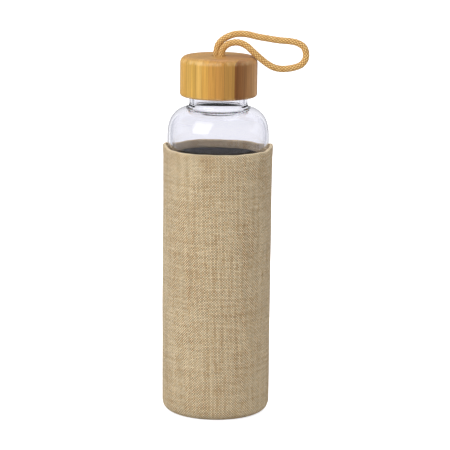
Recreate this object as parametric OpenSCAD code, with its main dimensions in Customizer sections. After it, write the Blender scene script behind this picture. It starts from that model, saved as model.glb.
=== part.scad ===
// Glass water bottle in a lined woven sleeve, with a bamboo screw cap and a braided carry loop.
// Origin: centre of the base. +Z: up along the bottle's axis. +X: the side the carry loop lies to.
// Lengths are in millimetres.

/* [Sleeve] */
// Outside diameter of the woven sleeve
sleeve_d = 70; // [66:0.5:74]
// Height of the sleeve, from the base to the top of its rim
sleeve_h = 174; // [160:1:178]
// Thickness of the woven fabric
fabric_t = 1; // [0.8:0.1:1.2]
// Thickness of the black lining
lining_t = 1; // [0.8:0.1:1.2]
// How far the fabric is turned in and down at the rim
hem_h = 5.5; // [4:0.5:12]
// Outside radius of the sleeve's bottom corner
corner_r = 7; // [6:0.5:8]

/* [Bottle] */
// Height of the glass bottle, from its foot to its lip
bottle_h = 217.4; // [216:0.2:220]
// Thickness of the glass
glass_t = 2.7; // [2.2:0.1:3]
// Thickness of the glass at the bottom
foot_t = 5.5; // [4:0.5:8]
// Outside diameter of the neck, under its thread
neck_d = 37.2; // [36:0.2:38]

/* [Cap] */
// Outside diameter of the bamboo cap
cap_d = 49.6; // [49:0.2:56]
// Height of the bamboo cap
cap_h = 26; // [25:0.5:30]
// Radius of the cap's top edge
cap_top_r = 4.5; // [2:0.5:6]
// Radius of the cap's bottom edge
cap_bottom_r = 2; // [1:0.5:2.5]
// Lead of the single-start screw thread
thread_pitch = 4.2; // [4:0.1:4.5]

/* [Cord] */
// Diameter of the braided cord
cord_d = 4.2; // [3.5:0.1:4.2]

/* [Hidden] */
$fn = 96;

// Sleeve
sleeve_r = sleeve_d / 2;
layer_gap = 0.05;                            // between stitched or glued layers that don't merge
slide_gap = 0.35;                            // radial room that lets the bottle slide in the sleeve
corner_centre = [sleeve_r - corner_r, corner_r];
base_seam_share = 0.53;                      // part of the corner's round that the tube covers
base_seam_r = sleeve_r - corner_r * base_seam_share;
lining_inset = fabric_t + layer_gap;
lining_seam_inset = 1.5;                     // the lining is sewn this far inside the base's seam
lining_seam_r = base_seam_r - lining_seam_inset;
hem_bottom_z = sleeve_h - hem_h;

// Bottle
glass_r = sleeve_r - lining_inset - lining_t - slide_gap;
foot_z = lining_inset + lining_t + layer_gap;
lip_z = foot_z + bottle_h;
heel_r = 7;
inner_heel_r = 5;
punt_r = 22;                                 // radius of the hollow under the foot
punt_rise = 2.5;
punt_sphere_r = (punt_r * punt_r + punt_rise * punt_rise) / (2 * punt_rise);
neck_r = neck_d / 2;
bore_r = neck_r - glass_t;
lip_r = 1.3;
shoulder_drop = 39.8;                        // from the lip down to the end of the straight side
shoulder_z = lip_z - shoulder_drop;
shoulder_rise = 20.6;
shoulder_r = 13.7;                           // radius at which the shoulder's curve lies level
shoulder_power = 2.7;                        // exponent of the shoulder's superellipse
shoulder_step = 7.5;                         // degrees
neck_fillet_r = 1.5;
neck_fillet_rise = 0.6;                      // height at which the fillet meets the shoulder
neck_fillet_sink = 0.5;                      // depth of the fillet's root inside the neck
level_drop = 0.9;                            // the fillet's root starts this far under the shoulder

// Cap
cap_r = cap_d / 2;
cap_overlap = 12.5;                          // how far the cap reaches down over the neck
cap_z = lip_z - cap_overlap;
cap_top_z = cap_z + cap_h;
liner_r = neck_r + 3.3;
liner_bore_r = neck_r + 1.9;
liner_disc_t = 1.6;
liner_skirt_rise = 0.6;                      // the liner's skirt ends this far above the cap's edge
gasket_t = 1.55;
gasket_r = neck_r + 1.5;
gasket_hole_r = bore_r - 1.3;
bead_r = gasket_r - 0.3;                     // a small bead keeps the gasket in the liner
bead_t = 0.5;
bead_clearance = 0.3;                        // between the bead and the gasket
bead_root = 0.2;                             // depth of the bead's root inside the skirt
gasket_z = lip_z + layer_gap;
disc_z = gasket_z + gasket_t + layer_gap;
liner_top_z = disc_z + liner_disc_t;
glue_gap = 0.05;
knot_room_r = 7.5;
knot_room_h = 7;
knot_room_z = liner_top_z + glue_gap;
cord_hole_r = 4.6;
hole_edge_r = 0.8;

// Screw thread
thread_turns = 1.5;
thread_h = 1.4;
thread_root_w = 2;
thread_crest_w = 1;
thread_drop = 9;                             // from the lip down to the thread's first section
thread_z = lip_z - thread_drop;
thread_bite = 1.7;                           // the cap's thread lies this far below the neck's
thread_lag = 60;                             // degrees by which the cap's thread starts earlier
thread_step = 10;                            // degrees between sections
thread_taper = 30;                           // degrees over which each end rises from the wall
thread_sink = 0.3;                           // depth of the thread's root inside the wall
thread_end_share = 0.05;                     // part of its height that the thread has at each end

// Cord and knot
cord_r = cord_d / 2;
knot_wrap_r = 4.6;
knot_core_r = 4.3;
knot_clearance = 0.2;
knot_z = knot_room_z + knot_clearance;
knot_h = 6.4;
knot_top_z = knot_z + knot_h;
cord_sides = 10;
cord_subdivisions = 2;
// The loop's route from one end in the knot round to the other, as [x, y, height above the knot]
cord_route = [
    [-1.5, 1.5, 0], [-1.5, 1.5, 3.5], [-1.5, 1.5, 7], [-0.5, 1.5, 10.5], [2, 1.5, 13.5],
    [6, 1, 16], [11, 1, 17.5], [17.5, 0.5, 17.5], [24.5, 0, 16], [31, -0.5, 15],
    [38, -1, 14], [45, -1.5, 13.5], [50, -2, 12.5], [54, -2.5, 10], [55.5, -3, 6],
    [55, -3.5, 2], [52, -4, -1.5], [46, -4, -3.5], [40, -4, -4], [35, -4.5, -3],
    [30.5, -4.5, -0.5], [26, -4.5, 3], [21.5, -4.5, 7], [17.5, -4, 10.5], [12.5, -3.5, 12.5],
    [7.5, -2.5, 12], [4, -2, 10], [2, -1.5, 7], [1.5, -1.5, 3.5], [1.5, -1.5, 0]
];

// Quarter of a ring that turns from the vertical wall to the floor
module quarter_ring(centre, outer_r, inner_r) {
    translate(centre)
        intersection() {
            difference() {
                circle(r = outer_r);
                circle(r = inner_r);
            }
            translate([0, -outer_r]) square(outer_r);
        }
}

// Section of one cloth layer: wall, rounded corner and floor
module layer_section(inset, t, top_z) {
    wall_r = sleeve_r - inset;
    translate([wall_r - t, corner_r]) square([t, top_z - corner_r]);
    quarter_ring(corner_centre, corner_r - inset, corner_r - inset - t);
    translate([0, inset]) square([corner_centre[0], t]);
}

module outside_of(seam_r) {
    difference() {
        children();
        square([seam_r, corner_r]);
    }
}

module inside_of(seam_r) {
    intersection() {
        children();
        square([seam_r - layer_gap, corner_r]);
    }
}

module hem_section() {
    translate([sleeve_r - 2 * fabric_t, hem_bottom_z]) square([2 * fabric_t, hem_h - fabric_t]);
    translate([sleeve_r - fabric_t, sleeve_h - fabric_t]) circle(r = fabric_t);
}

module sleeve_shell() {
    color("tan")
        rotate_extrude() {
            outside_of(base_seam_r) layer_section(0, fabric_t, sleeve_h - fabric_t);
            hem_section();
        }
}

module sleeve_base() {
    color("rosybrown")
        rotate_extrude() inside_of(base_seam_r) layer_section(0, fabric_t, corner_r + 1);
}

module sleeve_lining() {
    color("dimgray")
        rotate_extrude()
            outside_of(lining_seam_r) layer_section(lining_inset, lining_t, hem_bottom_z - layer_gap);
}

module lining_base() {
    color("gray")
        rotate_extrude() inside_of(lining_seam_r) layer_section(lining_inset, lining_t, corner_r + 1);
}

// One point of the shoulder's superellipse, at angle a from the side
function shoulder_point(side_r, rise, a) = [
    shoulder_r + (side_r - shoulder_r) * pow(cos(a), 2 / shoulder_power),
    shoulder_z + rise * pow(sin(a), 2 / shoulder_power)
];

module shoulder_section(side_r, rise) {
    polygon(concat(
        [for (a = [0 : shoulder_step : 90]) shoulder_point(side_r, rise, a)],
        [[0, shoulder_z + rise], [0, shoulder_z]]
    ));
}

// Section of a round body with a rounded lower corner
module barrel_section(side_r, low_z, round_r, high_z) {
    square_h = high_z - low_z;
    translate([0, low_z]) square([side_r - round_r, square_h]);
    translate([0, low_z + round_r]) square([side_r, square_h - round_r]);
    translate([side_r - round_r, low_z + round_r]) circle(r = round_r);
}

module neck_section() {
    translate([0, shoulder_z]) square([neck_r, lip_z - lip_r - shoulder_z]);
    translate([0, shoulder_z]) square([neck_r - lip_r, lip_z - shoulder_z]);
    translate([neck_r - lip_r, lip_z - lip_r]) circle(r = lip_r);
}

// Small round where the neck rises from the shoulder
module neck_fillet_section() {
    level_z = shoulder_z + shoulder_rise - level_drop;
    fillet_h = neck_fillet_r + neck_fillet_rise;
    difference() {
        translate([neck_r - neck_fillet_sink, level_z])
            square([neck_fillet_r + neck_fillet_sink, fillet_h]);
        translate([neck_r + neck_fillet_r, level_z + fillet_h]) circle(r = neck_fillet_r);
    }
}

module punt_section() {
    intersection() {
        translate([0, foot_z + punt_rise - punt_sphere_r]) circle(r = punt_sphere_r);
        translate([0, foot_z - 1]) square([punt_r + 4, punt_rise + 1]);
    }
}

// Screw thread as a swept trapezoid. side is 1 on the outside of a wall and -1 on the inside.
module screw_thread(wall_r, side, first_z, first_angle) {
    steps = thread_turns * 360 / thread_step;
    sections = [
        for (i = [0 : steps])
            let (
                along = i * thread_step,
                angle = first_angle + along,
                z = first_z + thread_pitch * along / 360,
                from_end = min(along, steps * thread_step - along),
                rise = thread_h * min(1, thread_end_share + from_end / thread_taper),
                root = wall_r - side * thread_sink,
                crest = wall_r + side * rise
            )
            [
                for (corner = [
                    [root, -thread_root_w / 2], [crest, -thread_crest_w / 2],
                    [crest, thread_crest_w / 2], [root, thread_root_w / 2]
                ])
                    [corner[0] * cos(angle), corner[0] * sin(angle), z + corner[1]]
            ]
    ];
    faces = concat(
        [[0, 1, 2, 3]],
        [for (i = [0 : steps - 1], j = [0 : 3])
            [4 * i + j, 4 * (i + 1) + j, 4 * (i + 1) + (j + 1) % 4]],
        [for (i = [0 : steps - 1], j = [0 : 3])
            [4 * i + j, 4 * (i + 1) + (j + 1) % 4, 4 * i + (j + 1) % 4]],
        [[for (j = [3 : -1 : 0]) 4 * steps + j]]
    );
    points = [for (section = sections) for (point = section) point];
    turned = [for (face = faces) side < 0 ? face : [for (k = [len(face) - 1 : -1 : 0]) face[k]]];
    polyhedron(points, turned);
}

module glass_bottle() {
    color("lavender", 0.5) {
        rotate_extrude()
            difference() {
                union() {
                    barrel_section(glass_r, foot_z, heel_r, shoulder_z);
                    shoulder_section(glass_r, shoulder_rise);
                    neck_section();
                    neck_fillet_section();
                }
                barrel_section(glass_r - glass_t, foot_z + foot_t, inner_heel_r, shoulder_z);
                shoulder_section(glass_r - glass_t, shoulder_rise - glass_t);
                translate([0, shoulder_z]) square([bore_r, lip_z]);
                punt_section();
            }
        screw_thread(neck_r, 1, thread_z, 0);
    }
}

module cap_gasket() {
    color("whitesmoke")
        rotate_extrude()
            translate([gasket_hole_r, gasket_z]) square([gasket_r - gasket_hole_r, gasket_t]);
}

module cap_liner() {
    skirt_z = cap_z + liner_skirt_rise;
    color("white") {
        rotate_extrude() {
            translate([liner_bore_r, skirt_z])
                square([liner_r - liner_bore_r, liner_top_z - skirt_z]);
            translate([0, disc_z]) square([liner_r, liner_disc_t]);
            translate([bead_r, lip_z - bead_clearance - bead_t])
                square([liner_bore_r - bead_r + bead_root, bead_t]);
        }
        screw_thread(
            liner_bore_r, -1,
            thread_z - thread_bite - thread_pitch * thread_lag / 360, -thread_lag
        );
    }
}

module bamboo_cap() {
    outer_h = cap_h - cap_bottom_r - cap_top_r;
    color("burlywood")
        rotate_extrude()
            difference() {
                union() {
                    translate([0, cap_z]) square([cap_r - cap_bottom_r, cap_h / 2]);
                    translate([cap_r - cap_bottom_r, cap_z + cap_bottom_r]) circle(r = cap_bottom_r);
                    translate([0, cap_z + cap_bottom_r]) square([cap_r, outer_h]);
                    translate([0, cap_z + cap_h / 2]) square([cap_r - cap_top_r, cap_h / 2]);
                    translate([cap_r - cap_top_r, cap_top_z - cap_top_r]) circle(r = cap_top_r);
                }
                translate([0, cap_z - 1]) square([liner_r + glue_gap, knot_room_z - cap_z + 1]);
                translate([0, cap_z]) square([knot_room_r, knot_room_z + knot_room_h - cap_z]);
                translate([0, cap_z]) square([cord_hole_r, cap_h + 1]);
                hole_edge_section();
            }
}

// Rounds the top edge of the cord's hole
module hole_edge_section() {
    difference() {
        translate([cord_hole_r - 0.1, cap_top_z - hole_edge_r])
            square([hole_edge_r + 0.1, hole_edge_r + 1]);
        translate([cord_hole_r + hole_edge_r, cap_top_z - hole_edge_r]) circle(r = hole_edge_r);
    }
}

// The knot that both ends of the loop are tied into, in its room under the bamboo
module cord_knot() {
    color("goldenrod")
        rotate_extrude() {
            translate([0, knot_z]) square([knot_core_r, knot_h]);
            for (z = [knot_z + cord_r, knot_top_z - cord_r])
                translate([knot_wrap_r, z]) circle(r = cord_r);
        }
}

// Catmull-Rom point between points i and i + 1 of a route, at t from 0 to 1
function on_route(route, i, t) =
    let (
        last = len(route) - 1,
        p0 = route[max(i - 1, 0)],
        p1 = route[i],
        p2 = route[min(i + 1, last)],
        p3 = route[min(i + 2, last)]
    )
    0.5 * (2 * p1 + (p2 - p0) * t + (2 * p0 - 5 * p1 + 4 * p2 - p3) * t * t
        + (3 * p1 - p0 - 3 * p2 + p3) * t * t * t);

function unit(v) = v / norm(v);

// Tube of radius r along a path that never points along Y
module tube(path, r, sides) {
    last = len(path) - 1;
    rings = [
        for (i = [0 : last])
            let (
                ahead = i == 0 || i == last
                    ? [0, 0, i == 0 ? 1 : -1]
                    : unit(path[i + 1] - path[i - 1]),
                across = unit([0, 1, 0] - ahead[1] * ahead),
                up = cross(ahead, across)
            )
            [for (j = [0 : sides - 1])
                path[i] + r * (cos(360 * j / sides) * across + sin(360 * j / sides) * up)]
    ];
    points = [for (ring = rings) for (point = ring) point];
    faces = concat(
        [[for (j = [0 : sides - 1]) j]],
        [for (i = [0 : last - 1], j = [0 : sides - 1])
            [sides * i + j, sides * (i + 1) + j, sides * (i + 1) + (j + 1) % sides]],
        [for (i = [0 : last - 1], j = [0 : sides - 1])
            [sides * i + j, sides * (i + 1) + (j + 1) % sides, sides * i + (j + 1) % sides]],
        [[for (j = [sides - 1 : -1 : 0]) sides * last + j]]
    );
    polyhedron(points, faces);
}

module carry_cord() {
    last = len(cord_route) - 1;
    smooth = concat(
        [for (i = [0 : last - 1], k = [0 : cord_subdivisions - 1])
            on_route(cord_route, i, k / cord_subdivisions)],
        [cord_route[last]]
    );
    color("peru") translate([0, 0, knot_top_z]) tube(smooth, cord_r, cord_sides);
}

sleeve_shell();
sleeve_base();
sleeve_lining();
lining_base();
glass_bottle();
cap_gasket();
cap_liner();
bamboo_cap();
cord_knot();
carry_cord();
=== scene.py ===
"""Glass water bottle in a lined woven sleeve, with a bamboo screw cap and a braided carry loop.

Lengths are in metres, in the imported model's own frame: the origin is the centre of the base,
+Z runs up the bottle and +X points to the side that the carry loop lies on.
"""

import math

import bmesh
import bpy
import numpy as np
from mathutils import Matrix, Vector


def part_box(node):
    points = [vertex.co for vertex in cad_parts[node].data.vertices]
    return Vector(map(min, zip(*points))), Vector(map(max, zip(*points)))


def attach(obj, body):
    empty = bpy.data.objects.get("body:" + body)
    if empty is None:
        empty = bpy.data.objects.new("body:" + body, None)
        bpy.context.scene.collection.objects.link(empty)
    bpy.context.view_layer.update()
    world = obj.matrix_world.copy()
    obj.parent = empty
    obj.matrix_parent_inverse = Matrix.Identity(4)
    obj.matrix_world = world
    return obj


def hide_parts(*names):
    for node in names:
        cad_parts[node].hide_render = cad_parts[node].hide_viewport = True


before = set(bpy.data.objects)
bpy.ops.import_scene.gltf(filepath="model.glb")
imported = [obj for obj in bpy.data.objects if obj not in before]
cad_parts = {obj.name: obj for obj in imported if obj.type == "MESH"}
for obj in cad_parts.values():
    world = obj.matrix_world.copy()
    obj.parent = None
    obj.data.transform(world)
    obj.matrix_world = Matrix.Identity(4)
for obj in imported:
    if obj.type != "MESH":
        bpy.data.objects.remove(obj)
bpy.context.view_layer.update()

MM = 0.001

# The camera, and the light it sees by
CAMERA_PLACE = (0.0, -1.5, 0.4188)
CAMERA_PAN = 0.196                # degrees to the right
CAMERA_TILT = 11.168              # degrees down
CAMERA_ROLL = 0.685               # degrees
CAMERA_LENS = 188.7               # millimetres, on a sensor 36 mm wide

# Sizes that come from the frame
sleeve_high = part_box("sleeve_shell")[1]
lining_low, lining_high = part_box("sleeve_lining")
glass_low, glass_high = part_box("glass_bottle")
gasket_low, gasket_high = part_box("cap_gasket")
liner_low, liner_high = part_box("cap_liner")
cap_low, cap_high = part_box("bamboo_cap")
knot_low, knot_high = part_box("cord_knot")
SLEEVE_R, SLEEVE_H = sleeve_high.x, sleeve_high.z
LINING_R, LINING_FLOOR = lining_high.x, lining_low.z
BASE_SEAM_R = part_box("sleeve_base")[1].x
LINING_SEAM_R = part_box("lining_base")[1].x
GLASS_R, FOOT_Z, LIP_Z = glass_high.x, glass_low.z, glass_high.z
CAP_R, CAP_Z, CAP_TOP_Z = cap_high.x, cap_low.z, cap_high.z
LINER_R, LINER_Z, LINER_TOP_Z = liner_high.x, liner_low.z, liner_high.z

# Cloth
FABRIC_T = 1.0 * MM
LINING_T = 1.0 * MM
CORNER_R = 7.0 * MM
CORNER_CENTRE = (SLEEVE_R - CORNER_R, CORNER_R)
HEM_H = 5.5 * MM
LINING_H = SLEEVE_H - HEM_H       # the lining is sewn on under the turned-in hem
THREAD_PITCH = 0.87 * MM
EAR_RISE = 2.0 * MM               # how far the rim stands up over each side seam
EAR_REACH = 34                    # degrees to either side of the seam
RIM_REACH = 14 * MM               # how far down the rim's own shape is felt
BASE_TAPER = 0.25 * MM            # how much slimmer the sleeve is at its base

# Glass
GLASS_T = 2.7 * MM
FLOOR_T = 5.5 * MM
HEEL_R = 7.0 * MM
INNER_HEEL_R = 5.0 * MM
PUNT_R = 22.0 * MM
PUNT_RISE = 2.5 * MM
NECK_R = 18.6 * MM
BORE_R = 15.9 * MM
LIP_ROUND = 1.3 * MM
LIP_INNER_ROUND = 0.9 * MM
NECK_FLARE = 3.0 * MM             # how far the neck's foot spreads outside,
BORE_FLARE = 3.4 * MM             # and inside
SHOULDER_DROP = 39.8 * MM         # from the lip down to the end of the straight side
SHOULDER_RISE = 20.6 * MM
SHOULDER_FLAT_R = 13.7 * MM       # radius at which the shoulder's curve would lie level
SHOULDER_POWER = 2.7
MOULD_SEAM_ANGLES = (31.2, 211.2) # degrees

# Screw thread
THREAD_LEAD = 4.2 * MM
THREAD_TURNS = 1.5
THREAD_RISE = 1.4 * MM
THREAD_ROOT_HALF = 1.0 * MM
THREAD_CREST_HALF = 0.5 * MM
NECK_THREAD_Z = LIP_Z - 9 * MM
LINER_THREAD_Z = NECK_THREAD_Z - 1.7 * MM
LINER_THREAD_START = -60.0        # degrees

# Cap
CAP_TOP_ROUND = 4.5 * MM
CAP_BOTTOM_ROUND = 2.0 * MM
LINER_BORE_R = 20.5 * MM
LINER_DISC_T = 1.6 * MM
KNOT_ROOM_R = 7.5 * MM
KNOT_ROOM_H = 7.0 * MM
KNOT_GAP = 0.2 * MM               # between the knot and the floor of its room
KNOT_ROOM_TOP_Z = knot_low.z - KNOT_GAP + KNOT_ROOM_H
CORD_HOLE_R = 4.6 * MM
HOLE_ROUND = 0.8 * MM
GASKET_HOLE_R = 14.6 * MM

# Cord: its route from one end in the knot round to the other, in millimetres above the knot
CORD_D = 4.2 * MM
CORD_ROUTE = [
    (-1.5, 1.5, 0), (-1.5, 1.5, 3.5), (-1.5, 1.5, 7), (-0.5, 1.5, 10.5), (2, 1.5, 13.5),
    (6, 1, 16), (11, 1, 17.5), (17.5, 0.5, 17.5), (24.5, 0, 16), (31, -0.5, 15),
    (38, -1, 14), (45, -1.5, 13.5), (50, -2, 12.5), (54, -2.5, 10), (55.5, -3, 6),
    (55, -3.5, 2), (52, -4, -1.5), (46, -4, -3.5), (40, -4, -4), (35, -4.5, -3),
    (30.5, -4.5, -0.5), (26, -4.5, 3), (21.5, -4.5, 7), (17.5, -4, 10.5), (12.5, -3.5, 12.5),
    (7.5, -2.5, 12), (4, -2, 10), (2, -1.5, 7), (1.5, -1.5, 3.5), (1.5, -1.5, 0),
]
BRAID_STRANDS = 7                 # in each direction
BRAID_STEP = 2.3 * MM             # length of cord in which a strand moves round by one place
BRAID_RELIEF = 0.40 * MM


# ---------------------------------------------------------------- camera


def make_camera():
    pan, tilt, roll = (math.radians(a) for a in (CAMERA_PAN, CAMERA_TILT, CAMERA_ROLL))
    forward = Vector((
        math.sin(pan) * math.cos(tilt),
        math.cos(pan) * math.cos(tilt),
        -math.sin(tilt),
    ))
    level = Vector((math.cos(pan), -math.sin(pan), 0))
    upright = level.cross(forward)
    right = math.cos(roll) * level + math.sin(roll) * upright
    up = math.cos(roll) * upright - math.sin(roll) * level
    data = bpy.data.cameras.new("camera")
    data.lens = CAMERA_LENS
    data.sensor_width = 36
    data.clip_start = 0.05
    data.clip_end = 100
    camera = bpy.data.objects.new("camera", data)
    camera.matrix_world = Matrix.Translation(CAMERA_PLACE) @ Matrix((
        (right.x, up.x, -forward.x, 0),
        (right.y, up.y, -forward.y, 0),
        (right.z, up.z, -forward.z, 0),
        (0, 0, 0, 1),
    ))
    bpy.context.scene.collection.objects.link(camera)
    bpy.context.scene.camera = camera


# ---------------------------------------------------------------- outlines and meshes


def smooth(value, low, high):
    """0 below low, 1 above high and an even curve between."""
    t = np.clip((value - low) / (high - low), 0, 1)
    return t * t * (3 - 2 * t)


def arc(centre, radius, start, end, steps):
    """Points of a round stretch of an outline, angles in degrees from +r towards +z."""
    return [
        (centre[0] + radius * math.cos(a), centre[1] + radius * math.sin(a))
        for a in np.radians(np.linspace(start, end, steps + 1))
    ]


def curve(start, control, end, steps):
    """Points of a quadratic curve, which rounds the corner at control."""
    points = []
    for t in np.linspace(0, 1, steps + 1):
        weights = ((1 - t) ** 2, 2 * t * (1 - t), t ** 2)
        points.append(tuple(
            sum(w * p[k] for w, p in zip(weights, (start, control, end))) for k in (0, 1)
        ))
    return points


def divided(outline, gap):
    """The outline with points added so that none lie further apart than gap."""
    made = [outline[0]]
    for (r0, z0), (r1, z1) in zip(outline, outline[1:]):
        length = math.hypot(r1 - r0, z1 - z0)
        if length < 1e-7:
            continue
        count = max(1, math.ceil(length / gap))
        for k in range(1, count + 1):
            made.append((r0 + (r1 - r0) * k / count, z0 + (z1 - z0) * k / count))
    return made


def finish_mesh(name, points, faces, uv):
    """Object with outward normals, smooth shading and its map of corner coordinates."""
    mesh = bpy.data.meshes.new(name)
    mesh.from_pydata(points, [], faces)
    layer = mesh.uv_layers.new(name="cloth")
    layer.data.foreach_set("uv", np.asarray(uv, np.float32).ravel())
    work = bmesh.new()
    work.from_mesh(mesh)
    bmesh.ops.recalc_face_normals(work, faces=work.faces)
    work.to_mesh(mesh)
    work.free()
    mesh.shade_smooth()
    piece = bpy.data.objects.new(name, mesh)
    bpy.context.scene.collection.objects.link(piece)
    return piece


def skin(name, rings, closed_rows, start_pole=None, end_pole=None, around=None, along=None):
    """Surface over rings, an array of rows, columns and xyz, whose columns close round.

    closed_rows joins the last ring to the first, and a pole closes an end with one point.
    around and along are the map's coordinates at each column and at each row.
    """
    rows, columns = rings.shape[:2]
    points = rings.reshape(-1, 3).tolist()
    around = np.arange(columns + 1) if around is None else around
    along = np.arange(rows + 1) if along is None else along
    faces, uv = [], []
    for i in range(rows if closed_rows else rows - 1):
        near, far = i * columns, ((i + 1) % rows) * columns
        for j in range(columns):
            k = (j + 1) % columns
            faces.append((near + j, near + k, far + k, far + j))
            uv += [
                (around[j], along[i]), (around[j + 1], along[i]),
                (around[j + 1], along[i + 1]), (around[j], along[i + 1]),
            ]
    for pole, row in ((start_pole, 0), (end_pole, rows - 1)):
        if pole is None:
            continue
        points.append(tuple(pole))
        tip, ring = len(points) - 1, row * columns
        for j in range(columns):
            faces.append((ring + j, ring + (j + 1) % columns, tip))
            uv += [
                (around[j], along[row]), (around[j + 1], along[row]), (around[j], along[row]),
            ]
    return finish_mesh(name, points, faces, uv)


def vertex_places(piece):
    return np.array([v.co for v in piece.data.vertices])


def mark(piece, name, values):
    """Writes one number per vertex that a material can read."""
    made = piece.data.attributes.new(name, "FLOAT", "POINT")
    made.data.foreach_set("value", np.asarray(values, np.float32))


def turned(name, outline, angles, shift=None, map_radius=None):
    """Body of revolution of an outline of (r, z) points, with true wall thickness.

    shift(r, z, angle) returns how far each point moves outward and up. An outline whose ends
    lie on the axis is closed there by a pole, and any other joins its last point to its first.
    """
    profile = np.array(outline)
    on_axis = (profile[0, 0] < 1e-6, profile[-1, 0] < 1e-6)
    start_pole = (0, 0, profile[0, 1]) if on_axis[0] else None
    end_pole = (0, 0, profile[-1, 1]) if on_axis[1] else None
    profile = profile[1 if on_axis[0] else 0:len(profile) - (1 if on_axis[1] else 0)]
    r, a = np.meshgrid(profile[:, 0], angles, indexing="ij")
    z = np.meshgrid(profile[:, 1], angles, indexing="ij")[0]
    if shift is not None:
        out, up = shift(r, z, a)
        r, z = r + out, z + up
    rings = np.stack([r * np.cos(a), r * np.sin(a), z], axis=-1)
    steps = np.hypot(*np.diff(np.vstack([profile, profile[:1]]), axis=0).T)
    along = np.concatenate([[0], np.cumsum(steps)])
    turn = np.append(angles, angles[0] + 2 * math.pi)
    radius = profile[:, 0].max() if map_radius is None else map_radius
    return skin(name, rings, not any(on_axis), start_pole, end_pole, turn * radius, along)


def even_angles(count, start=-math.pi):
    return start + np.arange(count) * 2 * math.pi / count


def finer_angles(count, centres, extra):
    """Even angles, with extra ones about each centre."""
    added = np.concatenate([centre + extra for centre in centres])
    added = (added + math.pi) % (2 * math.pi) - math.pi
    return np.unique(np.round(np.concatenate([even_angles(count), added]), 6))


def around_side(angle):
    """Angle from the nearer of the two side seams, at -X and +X, in radians."""
    return np.abs(np.arctan2(np.sin(2 * angle), np.cos(2 * angle))) / 2


# ---------------------------------------------------------------- cord


def smooth_route(points):
    """Catmull-Rom curve through the route's points."""
    steps = 16
    p = np.array(points, float)
    p = np.vstack([p[0], p, p[-1]])
    made = []
    for i in range(1, len(p) - 2):
        for t in np.arange(steps) / steps:
            made.append(0.5 * (
                2 * p[i] + (p[i + 1] - p[i - 1]) * t
                + (2 * p[i - 1] - 5 * p[i] + 4 * p[i + 1] - p[i + 2]) * t * t
                + (3 * p[i] - p[i - 1] - 3 * p[i + 1] + p[i + 2]) * t ** 3
            ))
    made.append(p[-2])
    return np.array(made)


def evenly(line, gap):
    """The line with points about every gap, and how far along it each of them lies."""
    steps = np.linalg.norm(np.diff(line, axis=0), axis=1)
    reach = np.concatenate([[0], np.cumsum(steps)])
    count = max(2, round(reach[-1] / gap)) + 1
    places = np.linspace(0, reach[-1], count)
    spaced = np.stack([np.interp(places, reach, line[:, k]) for k in range(3)], axis=1)
    return spaced, places


def carried_frames(line, closed):
    """Two directions across the line at each point, turned as little as the line allows."""
    if closed:
        ahead = np.roll(line, -1, axis=0) - np.roll(line, 1, axis=0)
    else:
        ahead = np.gradient(line, axis=0)
    ahead /= np.linalg.norm(ahead, axis=1, keepdims=True)
    side = np.cross(ahead[0], (0.0, 1.0, 0.0))
    sides = []
    for direction in ahead:
        side = side - direction * (side @ direction)
        side = side / np.linalg.norm(side)
        sides.append(side)
    sides = np.array(sides)
    return sides, np.cross(ahead, sides)


def braid_height(turns, steps):
    """Relief from 0 to 1 of a braid whose strands pass over and under one by one.

    turns counts strands round the cord, and steps counts lengths of BRAID_STEP along it.
    """
    a, b = turns + steps, turns - steps
    i, j = np.floor(a), np.floor(b)
    fa, fb = a - i, b - j
    over = np.where((i + j) % 2 < 0.5, 1.0, -1.0)
    round_a, round_b = np.sqrt(np.sin(math.pi * fa)), np.sqrt(np.sin(math.pi * fb))
    lift_a = round_a * (0.55 + 0.45 * over * np.sin(math.pi * fb))
    lift_b = round_b * (0.55 - 0.45 * over * np.sin(math.pi * fa))
    return np.maximum(lift_a, lift_b)


def braided_tube(name, line, places, diameter, columns, closed=False):
    """Tube with a real braided surface along evenly spaced points."""
    side, across = carried_frames(line, closed)
    angle = even_angles(columns, 0)
    turns, steps = np.meshgrid(
        angle / (2 * math.pi) * BRAID_STRANDS, places / BRAID_STEP, indexing="xy"
    )
    height = braid_height(turns, steps)
    radius = diameter / 2 - BRAID_RELIEF * (0.75 - height)
    ends = np.minimum(places, places[-1] - places)
    if not closed:
        radius = radius * (0.82 + 0.18 * smooth(ends, 0, 0.6 * MM))[:, None]
    rings = line[:, None, :] + radius[..., None] * (
        np.cos(angle)[None, :, None] * side[:, None, :]
        + np.sin(angle)[None, :, None] * across[:, None, :]
    )
    around = np.append(angle, 2 * math.pi) * diameter / 2
    along = np.append(places, places[-1] + (places[1] - places[0]))
    poles = (None, None) if closed else (line[0], line[-1])
    piece = skin(name, rings, closed, *poles, around, along)
    relief = height.ravel().tolist() + ([] if closed else [0.3, 0.3])
    mark(piece, "relief", relief)
    return piece


def make_carry_cord(material):
    knot_top = np.array((0, 0, knot_high.z))
    route = smooth_route(np.array(CORD_ROUTE) * MM) + knot_top
    line, places = evenly(route, 0.2 * MM)
    piece = braided_tube("carry_loop_cord", line, places, CORD_D, 72)
    piece.data.materials.append(material)
    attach(piece, "loop")
    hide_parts("carry_cord")


def make_knot(material):
    """The overhand knot that keeps both ends of the loop under the bamboo."""
    strand_d = 3.1 * MM
    reach = knot_high.x - strand_d / 2 - 0.05 * MM
    rise = (knot_high.z - knot_low.z - strand_d) / 2 - 0.05 * MM
    t = np.linspace(0, 2 * math.pi, 401)
    line = np.stack([
        reach / 3 * (np.sin(t) + 2 * np.sin(2 * t)),
        reach / 3 * (np.cos(t) - 2 * np.cos(2 * t)),
        (knot_low.z + knot_high.z) / 2 - rise * np.sin(3 * t),
    ], axis=1)
    line, places = evenly(line, 0.25 * MM)
    piece = braided_tube("overhand_knot", line[:-1], places[:-1], strand_d, 40, closed=True)
    piece.data.materials.append(material)
    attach(piece, "loop")
    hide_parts("cord_knot")


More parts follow.
